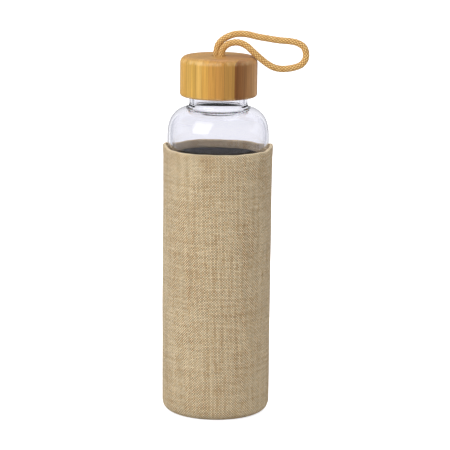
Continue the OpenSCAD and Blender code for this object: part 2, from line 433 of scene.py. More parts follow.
# ---------------------------------------------------------------- cloth


def sleeve_shift(r, z, angle):
    """Small unevenness of the stretched cloth, the ears of its rim and its two side seams."""
    outer = smooth(r, SLEEVE_R - FABRIC_T, SLEEVE_R - 0.3 * FABRIC_T)
    side = around_side(angle)
    wave = (
        0.10 * np.sin(3 * angle + 38 * z + 0.6)
        + 0.07 * np.sin(5 * angle - 61 * z + 2.1)
        + 0.05 * np.sin(2 * angle + 140 * z + 4.0)
    ) * MM
    rim_flare = 0.30 * MM * smooth(z, SLEEVE_H - RIM_REACH, SLEEVE_H - 2 * MM)
    under_hem = -0.16 * MM * np.exp(-(((z - SLEEVE_H + HEM_H + 1.5 * MM) / (2.2 * MM)) ** 2))
    taper = -BASE_TAPER * (1 - z / SLEEVE_H)
    seam = -0.42 * MM * np.exp(-((side * SLEEVE_R / (0.55 * MM)) ** 2))
    beside_seam = 0.16 * MM * np.exp(-(((side * SLEEVE_R - 1.7 * MM) / (1.0 * MM)) ** 2))
    above_base = smooth(z, 0, CORNER_R)
    out = outer * (above_base * (wave + rim_flare + under_hem + seam + beside_seam) + taper)
    ear = np.cos(np.clip(side / math.radians(EAR_REACH), 0, 1) * math.pi / 2) ** 2
    edge_wave = 0.12 * MM * np.sin(7 * angle + 1.0) + 0.08 * MM * np.sin(17 * angle + 0.4)
    up = (EAR_RISE * ear + edge_wave) * smooth(z, SLEEVE_H - RIM_REACH, SLEEVE_H - 0.5 * MM)
    return out, up


def corner_angle(seam_r, round_r):
    """How far below level a round about the corner's centre lies at a seam, in degrees."""
    return math.degrees(math.acos((seam_r - CORNER_CENTRE[0]) / round_r))


def make_sleeve_tube(material):
    """Woven tube: the side, the turned-in hem and the corner down to the base's seam."""
    seam = -corner_angle(BASE_SEAM_R + 0.05 * MM, CORNER_R)
    inner_r = SLEEVE_R - FABRIC_T
    hem_r = inner_r - FABRIC_T
    hem_z = SLEEVE_H - HEM_H
    hem_round = 0.4 * MM
    end = math.radians(seam)
    bite = 0.5 * FABRIC_T
    middle = (
        CORNER_CENTRE[0] + (CORNER_R - bite) * math.cos(end),
        CORNER_CENTRE[1] + (CORNER_R - bite) * math.sin(end),
    )
    outline = (
        arc(middle, bite * 0.98, seam - 88, seam - 8, 5)
        + arc(CORNER_CENTRE, CORNER_R, seam + 3, 0, 14)
        + divided([(SLEEVE_R, CORNER_R), (SLEEVE_R, SLEEVE_H - FABRIC_T)], 0.9 * MM)[1:]
        + arc((inner_r, SLEEVE_H - FABRIC_T), FABRIC_T, 0, 180, 12)[1:]
        + divided([(hem_r, SLEEVE_H - FABRIC_T), (hem_r, hem_z + hem_round)], 0.8 * MM)[1:]
        + arc((hem_r + hem_round, hem_z + hem_round), hem_round, 180, 270, 4)[1:]
        + [(inner_r, hem_z)]
        + divided([(inner_r, hem_z - 0.5 * MM), (inner_r, CORNER_R)], 6 * MM)
        + arc(CORNER_CENTRE, CORNER_R - FABRIC_T, 0, seam, 8)[1:]
    )
    beside_seam = np.radians([-1.8, -1.2, -0.9, -0.6, -0.3, 0.3, 0.9, 1.2, 1.5, 1.8])
    angles = finer_angles(300, (0, math.pi), beside_seam)
    piece = turned("sleeve_cloth", outline, angles, sleeve_shift, SLEEVE_R)
    points = vertex_places(piece)
    # Painted highlight: a lighter band along the crest of the rim, where the rounded edge would
    # catch the light
    from_crest = np.abs(np.hypot(points[:, 0], points[:, 1]) - inner_r - 0.3 * MM)
    rim_highlight = (1 - smooth(from_crest, 0.5 * MM, 1.0 * MM)) * (points[:, 2] > SLEEVE_H - FABRIC_T)
    mark(piece, "rim", rim_highlight)
    piece.data.materials.append(material)
    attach(piece, "sleeve")
    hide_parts("sleeve_shell")


def panel(name, seam_r, inset, thickness, edge_round, material, node):
    """Round base panel that ends in a rounded edge at its seam, mapped flat.

    inset is how far it lies inside the sleeve's outer face. edge_round is how many degrees short
    of the seam its outer face stops, which leaves room for the edge.
    """
    flat_r = CORNER_CENTRE[0]
    big, small = CORNER_R - inset, CORNER_R - inset - thickness
    outline = (
        divided([(0, inset), (flat_r, inset)], 1.2 * MM)
        + arc(CORNER_CENTRE, big, -90, -corner_angle(seam_r, big) - edge_round, 8)[1:]
        + arc(CORNER_CENTRE, small, -corner_angle(seam_r, small) - 3, -90, 6)
        + divided([(flat_r, inset + thickness), (0, inset + thickness)], 2 * MM)[1:]
    )

    def puff(r, z, angle):
        below = smooth(inset + thickness - z, 0, thickness)
        swell = 0.10 * MM * np.sin(90 * r * np.cos(angle) + 1) * np.sin(110 * r * np.sin(angle))
        lift = 0.35 * MM * smooth(r, 0.2 * flat_r, 0) + 0.10 * MM + swell
        return 0 * r, lift * below * smooth(flat_r - r, 0, 4 * MM)

    piece = turned(name, outline, even_angles(160), puff)
    points = vertex_places(piece)
    corners = np.zeros(len(piece.data.loops), np.int32)
    piece.data.loops.foreach_get("vertex_index", corners)
    flat = points[corners][:, :2]
    piece.data.uv_layers["cloth"].data.foreach_set("uv", flat.astype(np.float32).ravel())
    piece.data.materials.append(material)
    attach(piece, "sleeve")
    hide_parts(node)


def make_lining(material):
    inset = SLEEVE_R - LINING_R
    seam = -corner_angle(LINING_SEAM_R, CORNER_R - inset)
    inner_r = LINING_R - LINING_T
    edge = 0.4 * LINING_T
    outline = (
        arc(CORNER_CENTRE, CORNER_R - inset, seam + 2, 0, 10)
        + divided([(LINING_R, CORNER_R), (LINING_R, LINING_H - edge)], 4 * MM)[1:]
        + arc((LINING_R - edge, LINING_H - edge), edge, 0, 90, 4)[1:]
        + arc((inner_r + edge, LINING_H - edge), edge, 90, 180, 4)
        + divided([(inner_r, LINING_H - edge), (inner_r, CORNER_R)], 1.5 * MM)[1:]
        + arc(CORNER_CENTRE, CORNER_R - inset - LINING_T, 0, seam + 3, 8)[1:]
    )

    def crease(r, z, angle):
        inside = 1 - smooth(r, inner_r, LINING_R)
        wave = 0.08 * np.sin(6 * angle + 90 * z) + 0.07 * np.sin(11 * angle - 160 * z + 1)
        return inside * (wave + 0.15) * MM * smooth(z, CORNER_R, 3 * CORNER_R), 0 * z

    piece = turned("lining_cloth", outline, even_angles(240), crease, LINING_R)
    piece.data.materials.append(material)
    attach(piece, "sleeve")
    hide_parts("sleeve_lining")


# ---------------------------------------------------------------- glass


def thread_rise(z, angle, first_z, start):
    """Height of a screw thread's ridge at each point of a wall."""
    begun = np.radians(start)
    rise = np.zeros_like(z)
    for turn in range(math.ceil(THREAD_TURNS) + 1):
        along = (angle - begun) % (2 * math.pi) + 2 * math.pi * turn
        off = np.abs(z - first_z - THREAD_LEAD * along / (2 * math.pi))
        ridge = 1 - smooth(off, THREAD_CREST_HALF, THREAD_ROOT_HALF)
        end = 2 * math.pi * THREAD_TURNS
        taper = smooth(np.minimum(along, end - along), 0, math.radians(30))
        rise = np.maximum(rise, THREAD_RISE * ridge * taper * (along <= end))
    return rise


def shoulder(side_r, rise, start, end, steps):
    """Stretch of the shoulder's superellipse between two angles, in degrees."""
    power = 2 / SHOULDER_POWER
    return [
        (
            SHOULDER_FLAT_R + (side_r - SHOULDER_FLAT_R) * math.cos(a) ** power,
            LIP_Z - SHOULDER_DROP + rise * math.sin(a) ** power,
        )
        for a in np.radians(np.linspace(start, end, steps + 1))
    ]


def shoulder_at(radius, side_r, rise):
    """Height and angle of the shoulder's curve at a radius."""
    share = (radius - SHOULDER_FLAT_R) / (side_r - SHOULDER_FLAT_R)
    a = math.acos(share ** (SHOULDER_POWER / 2))
    return LIP_Z - SHOULDER_DROP + rise * math.sin(a) ** (2 / SHOULDER_POWER), math.degrees(a)


def glass_outline():
    shoulder_z = LIP_Z - SHOULDER_DROP
    sphere_r = (PUNT_R ** 2 + PUNT_RISE ** 2) / (2 * PUNT_RISE)
    punt_angle = math.degrees(math.asin(PUNT_R / sphere_r))
    outer_z, outer_end = shoulder_at(NECK_R + NECK_FLARE, GLASS_R, SHOULDER_RISE)
    inner_r = GLASS_R - GLASS_T
    inner_rise = SHOULDER_RISE - GLASS_T
    inner_z, inner_end = shoulder_at(BORE_R + BORE_FLARE, inner_r, inner_rise)
    floor_z = FOOT_Z + FLOOR_T
    lip_low = LIP_Z - LIP_INNER_ROUND
    outside = (
        arc((0, FOOT_Z + PUNT_RISE - sphere_r), sphere_r, 90, 90 - punt_angle, 16)
        + curve(
            (PUNT_R + 0.3 * MM, FOOT_Z + 0.1 * MM), (PUNT_R + 1 * MM, FOOT_Z),
            (PUNT_R + 2 * MM, FOOT_Z), 4,
        )
        + arc((GLASS_R - HEEL_R, FOOT_Z + HEEL_R), HEEL_R, -90, 0, 16)
        + divided([(GLASS_R, FOOT_Z + HEEL_R), (GLASS_R, shoulder_z)], 4 * MM)[1:]
        + shoulder(GLASS_R, SHOULDER_RISE, 0, outer_end, 44)[1:]
        + curve(
            (NECK_R + NECK_FLARE, outer_z), (NECK_R, outer_z + 0.35 * MM),
            (NECK_R, outer_z + NECK_FLARE + 0.3 * MM), 10,
        )[1:]
    )
    neck = divided([outside[-1], (NECK_R, LIP_Z - LIP_ROUND)], 0.33 * MM)[1:]
    lip = (
        arc((NECK_R - LIP_ROUND, LIP_Z - LIP_ROUND), LIP_ROUND, 0, 90, 8)[1:]
        + arc((BORE_R + LIP_INNER_ROUND, lip_low), LIP_INNER_ROUND, 90, 180, 6)
    )
    inside = (
        divided([(BORE_R, lip_low), (BORE_R, inner_z + BORE_FLARE)], 1.5 * MM)[1:]
        + curve(
            (BORE_R, inner_z + BORE_FLARE), (BORE_R, inner_z + 0.5 * MM),
            (BORE_R + BORE_FLARE, inner_z), 14,
        )[1:]
        + shoulder(inner_r, inner_rise, inner_end, 0, 44)[1:]
        + divided([(inner_r, shoulder_z), (inner_r, floor_z + INNER_HEEL_R)], 4 * MM)[1:]
        + arc((inner_r - INNER_HEEL_R, floor_z + INNER_HEEL_R), INNER_HEEL_R, 0, -90, 12)[1:]
        + divided([(inner_r - INNER_HEEL_R, floor_z), (0, floor_z)], 2 * MM)[1:]
    )
    return outside + neck + lip + inside


def glass_shift(r, z, angle):
    """Thread, mould seams and the gentle unevenness of a blown wall."""
    neck_outer = smooth(r, NECK_R - 0.3 * MM, NECK_R) * (z > NECK_THREAD_Z - 3 * MM)
    thread = neck_outer * thread_rise(z, angle, NECK_THREAD_Z, 0)
    top = LIP_Z - SHOULDER_DROP + SHOULDER_RISE
    inner_limit = np.where(z > top - 2 * MM, NECK_R - 0.4 * MM, GLASS_R - 0.6 * GLASS_T)
    outer = (r > inner_limit) * smooth(z, FOOT_Z + HEEL_R, FOOT_Z + 3 * HEEL_R)
    seam = np.zeros_like(r)
    for degrees in MOULD_SEAM_ANGLES:
        away = np.angle(np.exp(1j * (angle - math.radians(degrees)))) * r
        seam += np.exp(-((away / (0.32 * MM)) ** 2))
    strength = 0.03 + 0.14 * smooth(z, top - 6 * MM, top + 1 * MM)
    below_cap = 1 - smooth(z, CAP_Z, CAP_Z + 3 * MM)
    out = thread + outer * seam * strength * below_cap * MM
    inner_wall = (r < inner_limit) * smooth(r, BORE_R + 4 * MM, GLASS_R - GLASS_T)
    blown = 0.10 * np.sin(2 * angle + 30 * z) + 0.06 * np.sin(5 * angle - 70 * z + 1)
    return out + inner_wall * blown * 0.7 * MM, 0 * z


def make_glass(material):
    beside_seam = np.radians(np.linspace(-2.2, 2.2, 9))
    angles = finer_angles(192, np.radians(MOULD_SEAM_ANGLES), beside_seam)
    piece = turned("bottle_glass", glass_outline(), angles, glass_shift)
    piece.data.materials.append(material)
    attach(piece, "bottle")
    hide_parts("glass_bottle")


# ---------------------------------------------------------------- cap


def make_gasket(material):
    """Silicone ring with three raised beads on the face that meets the glass."""
    low, high, outer, inner = gasket_low.z, gasket_high.z, gasket_high.x, GASKET_HOLE_R
    edge = 0.45 * MM
    bead = 0.35 * MM
    face = []
    for r in np.linspace(inner + edge, outer - edge, 33):
        share = (r - inner) / (outer - inner)
        dip = bead * (1 - math.cos(4 * math.pi * share) ** 2)
        face.append((r, low + dip * 0.6))
    outline = (
        face
        + arc((outer - edge, low + edge), edge, -75, 0, 5)
        + arc((outer - edge, high - edge), edge, 0, 90, 5)
        + arc((inner + edge, high - edge), edge, 90, 180, 5)
        + arc((inner + edge, low + edge), edge, 180, 255, 5)
    )
    piece = turned("gasket_ring", outline, even_angles(144))
    piece.data.materials.append(material)
    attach(piece, "seal")
    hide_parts("cap_gasket")


def make_liner(material):
    """Moulded plastic liner with its own screw thread and a bead that holds the gasket."""
    disc_z = LINER_TOP_Z - LINER_DISC_T
    bead_z = LIP_Z - 0.55 * MM
    edge = 0.5 * MM
    rib_depth = 0.03 * MM             # of the fine ribs that key the liner to the glue
    outline = (
        divided([(0, LINER_TOP_Z), (LINER_R - edge, LINER_TOP_Z)], 2.5 * MM)
        + arc((LINER_R - edge, LINER_TOP_Z - edge), edge, 90, 0, 4)[1:]
        + divided([(LINER_R, LINER_TOP_Z - edge), (LINER_R, LINER_Z + edge)], 2 * MM)[1:]
        + arc((LINER_R - edge, LINER_Z + edge), edge, 0, -90, 4)[1:]
        + arc((LINER_BORE_R + edge, LINER_Z + edge), edge, -90, -180, 4)
        + divided([(LINER_BORE_R, LINER_Z + edge), (LINER_BORE_R, bead_z - edge)], 0.35 * MM)[1:]
        + arc((LINER_BORE_R + 0.1 * MM, bead_z), 0.6 * MM, -150, -210, 6)
        + [(LINER_BORE_R, bead_z + edge)]
        + curve(
            (LINER_BORE_R, disc_z - edge), (LINER_BORE_R, disc_z),
            (LINER_BORE_R - edge, disc_z), 4,
        )
        + divided([(LINER_BORE_R - edge, disc_z), (0, disc_z)], 2.5 * MM)[1:]
    )

    def thread_and_ribs(r, z, angle):
        inside = (np.abs(r - LINER_BORE_R) < 0.05 * MM) * (z < bead_z - edge)
        first_z = LINER_THREAD_Z + THREAD_LEAD * LINER_THREAD_START / 360
        thread = inside * thread_rise(z, angle, first_z, LINER_THREAD_START)
        grooves = rib_depth * (r > LINER_R - 0.01 * MM) * (1 - np.cos(60 * angle))
        return -grooves - thread, 0 * z

    piece = turned("liner_moulding", outline, even_angles(180), thread_and_ribs)
    piece.data.materials.append(material)
    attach(piece, "cap")
    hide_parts("cap_liner")


def make_bamboo_cap(material):
    bore_r = LINER_R + 0.05 * MM
    room_z = LINER_TOP_Z + 0.05 * MM
    edge = 0.4 * MM
    side_low, side_high = CAP_Z + CAP_BOTTOM_ROUND, CAP_TOP_Z - CAP_TOP_ROUND
    outline = (
        divided([(bore_r + edge, CAP_Z), (CAP_R - CAP_BOTTOM_ROUND, CAP_Z)], 0.4 * MM)[1:]
        + arc((CAP_R - CAP_BOTTOM_ROUND, side_low), CAP_BOTTOM_ROUND, -90, 0, 10)[1:]
        + divided([(CAP_R, side_low), (CAP_R, side_high)], 0.8 * MM)[1:]
        + arc((CAP_R - CAP_TOP_ROUND, side_high), CAP_TOP_ROUND, 0, 90, 20)[1:]
        + divided(
            [(CAP_R - CAP_TOP_ROUND, CAP_TOP_Z), (CORD_HOLE_R + HOLE_ROUND, CAP_TOP_Z)], 0.8 * MM
        )[1:]
        + arc((CORD_HOLE_R + HOLE_ROUND, CAP_TOP_Z - HOLE_ROUND), HOLE_ROUND, 90, 180, 8)[1:]
        + [(CORD_HOLE_R, KNOT_ROOM_TOP_Z)]
        + divided([(KNOT_ROOM_R, KNOT_ROOM_TOP_Z), (KNOT_ROOM_R, room_z)], 2 * MM)
        + divided([(bore_r, room_z), (bore_r, CAP_Z + edge)], 2 * MM)
        + arc((bore_r + edge, CAP_Z + edge), edge, 180, 270, 4)[1:]
    )
    piece = turned("bamboo_shell", outline, even_angles(192))
    points = vertex_places(piece)
    normals = np.array([v.normal for v in piece.data.vertices])
    mark(piece, "end_grain", smooth(np.abs(normals[:, 2]), 0.45, 0.95))
    radius = np.hypot(points[:, 0], points[:, 1])
    # Painted highlight: the top and bottom rounds are marked to take a lighter, golden colour
    rounds = smooth(radius, CAP_R - 1.6 * MM, CAP_R - 0.4 * MM) * (
        smooth(points[:, 2], side_high, side_high + 1.5 * MM)
        + smooth(-points[:, 2], -side_low, -side_low + 1 * MM)
    )
    mark(piece, "painted_edge_highlight", rounds)
    piece.data.materials.append(material)
    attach(piece, "cap")
    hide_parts("bamboo_cap")


# ---------------------------------------------------------------- materials


class Graph:
    """The node tree of a new material or world, with short calls that add nodes and link them."""

    def __init__(self, owner):
        self.owner = owner
        owner.use_nodes = True
        self.tree = owner.node_tree
        self.tree.nodes.clear()

    def node(self, kind, inputs, **settings):
        made = self.tree.nodes.new(kind)
        for key, value in settings.items():
            setattr(made, key, value)
        for key, value in inputs.items():
            socket = made.inputs[key]
            if isinstance(value, bpy.types.NodeSocket):
                self.tree.links.new(value, socket)
            else:
                socket.default_value = value
        return made

    def math(self, operation, *values):
        inputs = dict(enumerate(values))
        return self.node("ShaderNodeMath", inputs, operation=operation).outputs[0]

    def times(self, *values):
        made = values[0]
        for value in values[1:]:
            made = self.math("MULTIPLY", made, value)
        return made

    def plus(self, *values):
        made = values[0]
        for value in values[1:]:
            made = self.math("ADD", made, value)
        return made

    def blend(self, amount, low, high):
        """Number that goes from low to high as amount goes from 0 to 1."""
        made = self.node("ShaderNodeMix", {0: amount, 2: low, 3: high}, data_type="FLOAT")
        return made.outputs[0]

    def tint(self, amount, low, high, mode="MIX"):
        """Colour that goes from low to high as amount goes from 0 to 1."""
        made = self.node(
            "ShaderNodeMix", {0: amount, 6: low, 7: high}, data_type="RGBA", blend_type=mode
        )
        return made.outputs[2]

    def spread(self, value, low, high, new_low=0.0, new_high=1.0):
        inputs = {0: value, 1: low, 2: high, 3: new_low, 4: new_high}
        return self.node("ShaderNodeMapRange", inputs, clamp=True).outputs[0]

    def ramp(self, value, stops, interpolation="LINEAR"):
        made = self.node("ShaderNodeValToRGB", {0: value})
        made.color_ramp.interpolation = interpolation
        elements = made.color_ramp.elements
        while len(elements) < len(stops):
            elements.new(0.5)
        for element, (position, colour) in zip(elements, sorted(stops)):
            element.position = position
            element.color = (*colour, 1)
        return made.outputs[0]

    def split(self, vector):
        return self.node("ShaderNodeSeparateXYZ", {0: vector}).outputs

    def join(self, x, y, z):
        return self.node("ShaderNodeCombineXYZ", {0: x, 1: y, 2: z}).outputs[0]

    def object_place(self):
        return self.node("ShaderNodeTexCoord", {}).outputs["Object"]

    def cloth_place(self):
        return self.node("ShaderNodeUVMap", {}, uv_map="cloth").outputs[0]

    def attribute(self, name):
        return self.node("ShaderNodeAttribute", {}, attribute_name=name).outputs["Fac"]

    def noise(self, vector, scale, detail=2.0, roughness=0.5):
        inputs = {"Vector": vector, "Scale": scale, "Detail": detail, "Roughness": roughness}
        return self.node("ShaderNodeTexNoise", inputs).outputs[0]

    def bump(self, height, distance):
        inputs = {"Height": height, "Distance": distance, "Strength": 1.0}
        return self.node("ShaderNodeBump", inputs).outputs[0]

    def surface(self, **inputs):
        names = {key.replace("_", " "): value for key, value in inputs.items()}
        shader = self.node("ShaderNodeBsdfPrincipled", names)
        self.node("ShaderNodeOutputMaterial", {"Surface": shader.outputs[0]})
        return self.owner


def plain_weave(g, u, v, pitch, wander):
    """Over-and-under weave: its relief, its tone, and 1 where the weft is on top."""
    sway_u = g.noise(g.join(g.times(u, 150.0), g.times(v, 60.0), 3.0), 1.0, 2.0)
    sway_v = g.noise(g.join(g.times(u, 60.0), g.times(v, 150.0), 7.0), 1.0, 2.0)
    s = g.plus(g.math("DIVIDE", u, pitch), g.times(sway_u, wander))
    t = g.plus(g.math("DIVIDE", v, pitch), g.times(sway_v, wander))
    warp, weft = g.math("FLOOR", s), g.math("FLOOR", t)
    across_s = g.math("SINE", g.times(g.math("FRACT", s), math.pi))
    across_t = g.math("SINE", g.times(g.math("FRACT", t), math.pi))
    weft_on_top = g.math("FLOORED_MODULO", g.plus(warp, weft), 2.0)
    round_s, round_t = g.math("SQRT", across_s), g.math("SQRT", across_t)
    warp_lift = g.times(round_s, g.plus(g.times(across_t, 0.5), 0.5))
    weft_lift = g.times(round_t, g.plus(g.times(across_s, 0.5), 0.5))
    height = g.blend(weft_on_top, warp_lift, weft_lift)
    warp_tone = g.noise(g.join(g.times(warp, 5.3), g.times(v, 120.0), 1.0), 1.0, 2.0)
    weft_tone = g.noise(g.join(g.times(u, 120.0), g.times(weft, 5.3), 9.0), 1.0, 2.0)
    crossing = g.node(
        "ShaderNodeTexWhiteNoise", {"Vector": g.join(warp, weft, 0.0)}, noise_dimensions="2D"
    ).outputs["Value"]
    tone = g.plus(
        g.times(g.blend(weft_on_top, warp_tone, weft_tone), 0.75), g.times(crossing, 0.25)
    )
    return height, tone, weft_on_top


def woven_fabric():
    """Natural jute and cotton cloth: uneven spun threads, slubs, painted shade in the gaps and a dry
    sheen.
    """
    g = Graph(bpy.data.materials.new("woven_jute"))
    u, v, _ = g.split(g.cloth_place())
    height, tone, weft_on_top = plain_weave(g, u, v, THREAD_PITCH, 0.6)
    place = g.object_place()
    patches = g.noise(place, 55.0, 3.0, 0.6)
    warp_fibre = g.noise(g.join(g.times(u, 9000.0), g.times(v, 1300.0), 0.0), 1.0, 2.0)
    weft_fibre = g.noise(g.join(g.times(u, 1300.0), g.times(v, 9000.0), 4.0), 1.0, 2.0)
    fibre = g.blend(weft_on_top, warp_fibre, weft_fibre)
    slub = g.noise(g.join(g.times(u, 420.0), g.times(v, 14.0), 2.0), 1.0, 1.0)
    weft_slub = g.noise(g.join(g.times(u, 18.0), g.times(v, 520.0), 6.0), 1.0, 1.0)
    shade = g.plus(
        g.times(tone, 0.80), g.times(fibre, 0.12), g.times(patches, 0.10), g.times(slub, 0.36),
        g.times(weft_slub, 0.30), g.times(weft_on_top, -0.34),
    )
    thread = g.ramp(g.spread(shade, 0.32, 0.90), [
        (0.0, (0.330, 0.203, 0.095)),
        (0.35, (0.605, 0.420, 0.225)),
        (0.65, (0.870, 0.658, 0.378)),
        (1.0, (1.000, 0.890, 0.610)),
    ])
    # Painted shade: the low places between the threads are darkened towards a deep brown
    gap = g.spread(height, 0.27, 0.78)
    colour = g.tint(gap, (0.150, 0.088, 0.040, 1), thread)
    # Painted highlight along the rim's crest, half way to a pale gold
    colour = g.tint(g.times(g.attribute("rim"), 0.5), colour, (0.90, 0.76, 0.52, 1))
    relief = g.plus(height, g.times(fibre, 0.12), g.times(slub, 0.4))
    normal = g.bump(relief, 0.34 * MM)
    return g.surface(
        Base_Color=colour, Roughness=g.spread(height, 0.0, 1.0, 0.95, 0.78), Normal=normal,
        Sheen_Weight=0.16, Sheen_Roughness=0.45, Sheen_Tint=(0.95, 0.82, 0.62, 1),
        Specular_IOR_Level=0.25,
    )


def lining_fabric():
    """Black plain-woven polyester, fine and slightly shiny on its threads."""
    g = Graph(bpy.data.materials.new("black_lining"))
    u, v, _ = g.split(g.cloth_place())
    height, tone, _ = plain_weave(g, u, v, 0.5 * MM, 0.5)
    lint = g.noise(g.object_place(), 900.0, 3.0, 0.6)
    shade = g.plus(g.times(tone, 0.5), g.times(lint, 0.5))
    thread = g.ramp(g.spread(shade, 0.3, 0.75), [
        (0.0, (0.010, 0.008, 0.007)),
        (0.6, (0.030, 0.023, 0.018)),
        (1.0, (0.085, 0.066, 0.048)),
    ])
    # Painted shade: the low places between the threads are darkened further
    colour = g.tint(g.spread(height, 0.1, 0.6), (0.005, 0.004, 0.004, 1), thread)
    return g.surface(
        Base_Color=colour, Roughness=g.spread(height, 0.0, 1.0, 0.9, 0.6),
        Normal=g.bump(height, 0.10 * MM), Sheen_Weight=0.3, Sheen_Roughness=0.4,
    )


def clear_glass():
    """Borosilicate glass with a faint ripple and the last trace of polishing haze."""
    g = Graph(bpy.data.materials.new("clear_glass"))
    place = g.object_place()
    ripple = g.noise(place, 38.0, 2.0, 0.4)
    haze = g.noise(place, 140.0, 3.0, 0.55)
    return g.surface(
        Base_Color=(0.966, 0.966, 0.998, 1), Roughness=g.spread(haze, 0.4, 0.9, 0.0, 0.035),
        Normal=g.bump(ripple, 0.25 * MM), IOR=1.5, Transmission_Weight=1.0,
    )


def silicone():
    """Milky silicone rubber."""
    g = Graph(bpy.data.materials.new("milky_silicone"))
    place = g.object_place()
    bloom = g.noise(place, 300.0, 3.0, 0.6)
    colour = g.ramp(bloom, [(0.3, (0.62, 0.62, 0.60)), (0.7, (0.76, 0.76, 0.74))])
    return g.surface(
        Base_Color=colour, Roughness=g.spread(bloom, 0.3, 0.7, 0.35, 0.55),
        Normal=g.bump(g.noise(place, 1600.0, 2.0), 0.02 * MM),
        Subsurface_Weight=0.4, Subsurface_Scale=0.002, IOR=1.41,
    )


def liner_plastic():
    """White moulded polypropylene with a satin, finely textured skin."""
    g = Graph(bpy.data.materials.new("white_polypropylene"))
    place = g.object_place()
    grain = g.noise(place, 2200.0, 2.0)
    flow = g.noise(place, 90.0, 3.0, 0.5)
    colour = g.ramp(flow, [(0.3, (0.72, 0.72, 0.70)), (0.75, (0.82, 0.82, 0.80))])
    return g.surface(
        Base_Color=colour, Roughness=g.spread(flow, 0.3, 0.7, 0.32, 0.46),
        Normal=g.bump(grain, 0.015 * MM), Subsurface_Weight=0.25, Subsurface_Scale=0.0015,
    )


STRIP_NORMAL = (0.82, -0.57)      # across the glued strips, seen from above
STRIP_W = 4.35 * MM
DARK_STRIP_AT = 21.2 * MM         # where the outermost, darkest strip begins


def bamboo():
    """Block of glued bamboo strips: upright fibres on the side, dotted end grain on the top."""
    g = Graph(bpy.data.materials.new("laminated_bamboo"))
    place = g.object_place()
    x, y, z = g.split(place)
    across = g.plus(g.times(x, STRIP_NORMAL[0]), g.times(y, STRIP_NORMAL[1]))
    strip = g.math("DIVIDE", g.math("SUBTRACT", across, DARK_STRIP_AT), STRIP_W)
    number = g.math("FLOOR", strip)
    tone = g.ramp(g.spread(number, -12.0, 1.0), [
        (0.0, (0.620, 0.345, 0.075)),
        (0.10, (0.680, 0.390, 0.090)),
        (0.22, (0.710, 0.395, 0.078)),
        (0.34, (0.610, 0.355, 0.077)),
        (0.44, (0.600, 0.345, 0.066)),
        (0.52, (0.665, 0.390, 0.087)),
        (0.60, (0.640, 0.340, 0.060)),
        (0.67, (0.560, 0.275, 0.050)),
        (0.75, (0.545, 0.262, 0.052)),
        (0.83, (0.470, 0.240, 0.050)),
        (0.90, (0.240, 0.086, 0.018)),
    ], "CONSTANT")
    # Painted reflection: the darkest strip turns lighter from the front towards the cap's right-hand
    # side, as a grazing reflection on the varnish would
    painted_side_sheen = g.times(
        g.math("GREATER_THAN", across, DARK_STRIP_AT), g.spread(y, -0.90 * CAP_R, -0.30 * CAP_R)
    )
    tone = g.tint(g.times(painted_side_sheen, 0.95), tone, (0.640, 0.360, 0.145, 1))
    drift = g.noise(g.join(g.times(x, 260.0), g.times(y, 260.0), g.times(z, 9.0)), 1.0, 3.0)
    fibre = g.noise(g.join(g.times(x, 2100.0), g.times(y, 2100.0), g.times(z, 38.0)), 1.0, 3.0)
    streak = g.noise(g.join(g.times(x, 900.0), g.times(y, 900.0), g.times(z, 16.0)), 1.0, 2.0)
    grain = g.plus(g.times(drift, 0.5), g.times(fibre, 0.9), g.times(streak, 0.7))
    shade = g.spread(grain, 0.72, 1.42, 0.66, 1.30)
    colour = g.tint(1.0, tone, g.join(shade, shade, shade), "MULTIPLY")
    bundles = g.node(
        "ShaderNodeTexVoronoi", {"Vector": g.join(x, y, 0.0), "Scale": 1150.0}
    ).outputs["Distance"]
    dots = g.spread(bundles, 0.15, 0.34, 1.0, 0.0)
    end_grain = g.attribute("end_grain")
    end_colour = g.tint(0.45, colour, (0.42, 0.210, 0.088, 1))
    end_colour = g.tint(g.times(dots, 0.55), end_colour, (0.17, 0.075, 0.028, 1))
    colour = g.tint(end_grain, colour, end_colour)
    from_line = g.math("ABSOLUTE", g.math("SUBTRACT", g.math("FRACT", strip), 0.5))
    glue = g.spread(from_line, 0.465, 0.497)
    colour = g.tint(g.times(glue, 0.55), colour, (0.150, 0.062, 0.020, 1))
    # Painted highlight on the rounded edges, broken up by noise
    edge_highlight = g.times(g.attribute("painted_edge_highlight"), g.spread(drift, 0.4, 0.7))
    colour = g.tint(g.times(edge_highlight, 0.35), colour, (0.82, 0.62, 0.34, 1))
    relief = g.plus(fibre, g.times(glue, -0.6), g.times(end_grain, dots, -0.5))
    return g.surface(
        Base_Color=colour, Roughness=g.spread(fibre, 0.3, 0.7, 0.36, 0.50),
        Normal=g.bump(relief, 0.035 * MM), Coat_Weight=0.10, Coat_Roughness=0.25,
        Specular_IOR_Level=0.30,
    )


def braided_cord():
    """Golden polyester braid: shiny strand tops, painted brown shade in the gaps and fine filaments.
    """
    g = Graph(bpy.data.materials.new("golden_braid"))
    u, v, _ = g.split(g.cloth_place())
    relief = g.attribute("relief")
    lean = g.plus(g.times(u, 5200.0), g.times(v, 5200.0))
    cross = g.math("SUBTRACT", g.times(u, 900.0), g.times(v, 900.0))
    filament = g.noise(g.join(lean, cross, 0.0), 1.0, 2.0)
    tone = g.noise(g.join(g.times(u, 700.0), g.times(v, 420.0), 5.0), 1.0, 2.0)
    shade = g.plus(g.times(tone, 0.6), g.times(filament, 0.4))
    strand = g.ramp(g.spread(shade, 0.32, 0.72), [
        (0.0, (0.680, 0.360, 0.090)),
        (0.5, (1.000, 0.660, 0.220)),
        (1.0, (1.000, 0.870, 0.460)),
    ])
    # Painted shade: where the braid's relief is low, between the strands, the colour turns a dark
    # brown
    colour = g.tint(g.spread(relief, 0.48, 0.92), (0.360, 0.160, 0.040, 1), strand)
    return g.surface(
        Base_Color=colour, Roughness=g.spread(relief, 0.4, 1.0, 0.74, 0.44),
        Normal=g.bump(filament, 0.05 * MM), Sheen_Weight=0.15, Sheen_Roughness=0.35,
        Specular_IOR_Level=0.4,
    )


# ---------------------------------------------------------------- studio

